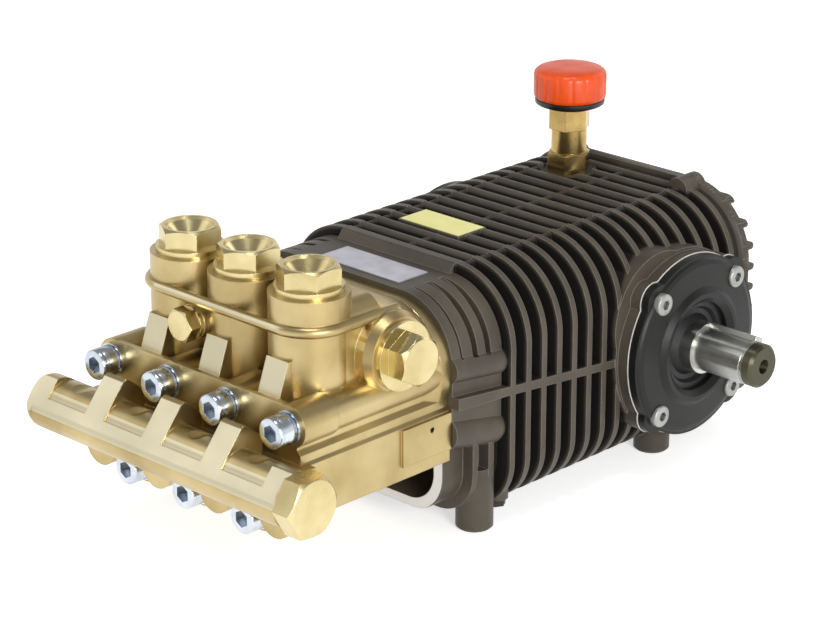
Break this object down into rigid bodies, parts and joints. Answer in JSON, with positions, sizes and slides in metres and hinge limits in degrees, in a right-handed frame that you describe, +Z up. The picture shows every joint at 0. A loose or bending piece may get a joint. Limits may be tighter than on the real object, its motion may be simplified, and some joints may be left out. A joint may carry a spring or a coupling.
{
  "type": "triplex plunger pump",
  "caption": "High-pressure plunger pump with a finned dark crankcase, brass valve head, keyed drive shaft and oil filler cap.",
  "frame": {"origin": "on the floor at the centre of the four foot holes", "axes": "+X along the drive shaft towards its free end, -Y towards the brass head, +Z up"},
  "size_m": [0.2979, 0.4828, 0.2445],
  "materials": {
    "case_paint": "satin",
    "brass": "satin",
    "zinc": "satin",
    "steel": "satin",
    "gasket": "matt",
    "rubber": "matt",
    "copper": "satin",
    "ceramic": "gloss",
    "red_plastic": "gloss",
    "black_plastic": "matt",
    "plate": "satin",
    "yellow_label": "satin"
  },
  "bodies": {
    "pump": {"crankcase": "case_paint", "rear_cover": "case_paint", "rear_cover_screws": "zinc", "bearing_gasket": "gasket", "bearing_cover": "case_paint", "bearing_cover_screws": "zinc", "shaft_seal": "rubber", "end_gasket": "gasket", "end_cover": "case_paint", "end_cover_screws": "zinc", "shaft_bearings": "steel", "pump_head": "brass", "valve_cap_left": "brass", "valve_cap_middle": "brass", "valve_cap_right": "brass", "upper_bolts": "zinc", "lower_bolts": "zinc", "bolt_washers": "zinc", "manifold_plug": "brass", "manifold_plug_washer": "copper", "outlet_plug": "brass", "gauge_plug": "brass", "plungers": "ceramic", "seal_retainers": "brass", "oil_seals": "rubber", "filler_neck": "brass", "filler_rim": "black_plastic", "filler_cap": "red_plastic", "name_plate": "plate", "type_label": "yellow_label", "drain_plug": "steel"},
    "shaft": {"crankshaft": "steel", "shaft_key": "steel"}
  },
  "joints": [
    {"name": "shaft_turn", "type": "hinge", "parent": "pump", "child": "shaft", "pos_m": [0, 0.092, 0.085], "axis": [1, 0, 0], "continuous": true}
  ]
}
